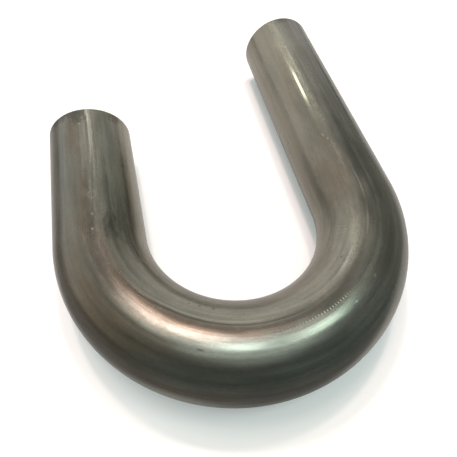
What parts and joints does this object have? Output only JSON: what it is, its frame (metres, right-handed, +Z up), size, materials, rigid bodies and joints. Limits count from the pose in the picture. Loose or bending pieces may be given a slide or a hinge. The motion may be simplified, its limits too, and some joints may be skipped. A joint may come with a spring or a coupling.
{
  "type": "exhaust mandrel bend",
  "caption": "Welded steel exhaust tube in a smooth half turn of constant bore, with one short and one long straight leg, square saw-cut ends and a bare mill finish.",
  "frame": {"origin": "on the surface the bend lies on, below the middle of its outline", "axes": "+Z up, square to the plane of the turn; +Y along both legs, towards the saw cuts; +X from the short leg towards the long leg"},
  "size_m": [0.2032, 0.2586, 0.0508],
  "materials": {
    "bare_steel": "bare mill finish, satin, with light die marks and dried bending lubricant"
  },
  "bodies": {
    "root": {"bend_tube": "bare_steel"}
  },
  "joints": []
}
